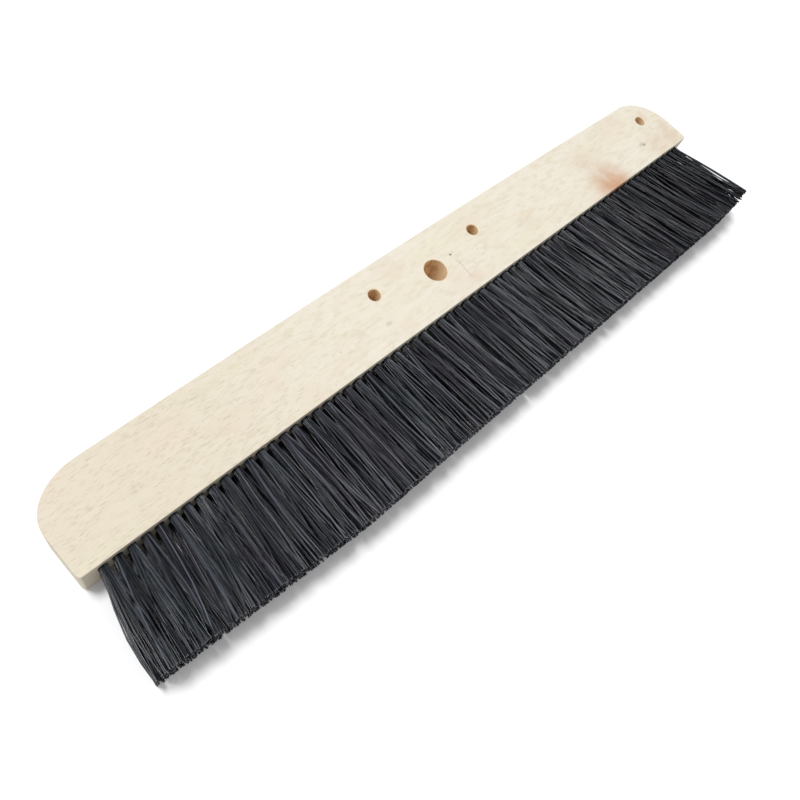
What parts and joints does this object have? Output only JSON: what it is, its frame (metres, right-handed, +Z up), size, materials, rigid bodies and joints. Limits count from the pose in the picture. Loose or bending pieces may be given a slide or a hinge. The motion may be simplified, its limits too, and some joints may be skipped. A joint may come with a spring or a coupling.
{
  "type": "push broom head",
  "caption": "Flat wooden broom head, drilled for a handle bracket and a hanging hook, with two rows of black bristle tufts along one long edge.",
  "frame": {"origin": "middle of the underside of the whole head, lying face up", "axes": "+X along the block towards the end with the hanging hole, +Y from the bristle tips to the block's back edge, +Z up out of the face"},
  "size_m": [0.6156, 0.138, 0.0365],
  "materials": {
    "wood": "bare sanded pale hardwood, uncoated",
    "bristle": "extruded black filament with a slight sheen",
    "staple_wire": "bright drawn steel wire of the staples, hidden at the bottom of the tuft holes"
  },
  "bodies": {
    "root": {"wood_block": "wood", "tuft_group_lower_01": "bristle", "tuft_group_lower_02": "bristle", "tuft_group_lower_03": "bristle", "tuft_group_lower_04": "bristle", "tuft_group_lower_05": "bristle", "tuft_group_lower_06": "bristle", "tuft_group_lower_07": "bristle", "tuft_group_lower_08": "bristle", "tuft_group_lower_09": "bristle", "tuft_group_lower_10": "bristle", "tuft_group_lower_11": "bristle", "tuft_group_lower_12": "bristle", "tuft_group_lower_13": "bristle", "tuft_group_lower_14": "bristle", "tuft_group_lower_15": "bristle", "tuft_group_lower_16": "bristle", "tuft_group_lower_17": "bristle", "tuft_group_lower_18": "bristle", "tuft_group_lower_19": "bristle", "tuft_group_lower_20": "bristle", "tuft_group_lower_21": "bristle", "tuft_group_lower_22": "bristle", "tuft_group_upper_01": "bristle", "tuft_group_upper_02": "bristle", "tuft_group_upper_03": "bristle", "tuft_group_upper_04": "bristle", "tuft_group_upper_05": "bristle", "tuft_group_upper_06": "bristle", "tuft_group_upper_07": "bristle", "tuft_group_upper_08": "bristle", "tuft_group_upper_09": "bristle", "tuft_group_upper_10": "bristle", "tuft_group_upper_11": "bristle", "tuft_group_upper_12": "bristle", "tuft_group_upper_13": "bristle", "tuft_group_upper_14": "bristle", "tuft_group_upper_15": "bristle", "tuft_group_upper_16": "bristle", "tuft_group_upper_17": "bristle", "tuft_group_upper_18": "bristle", "tuft_group_upper_19": "bristle", "tuft_group_upper_20": "bristle", "tuft_group_upper_21": "bristle", "tuft_group_upper_22": "bristle"}
  },
  "joints": []
}
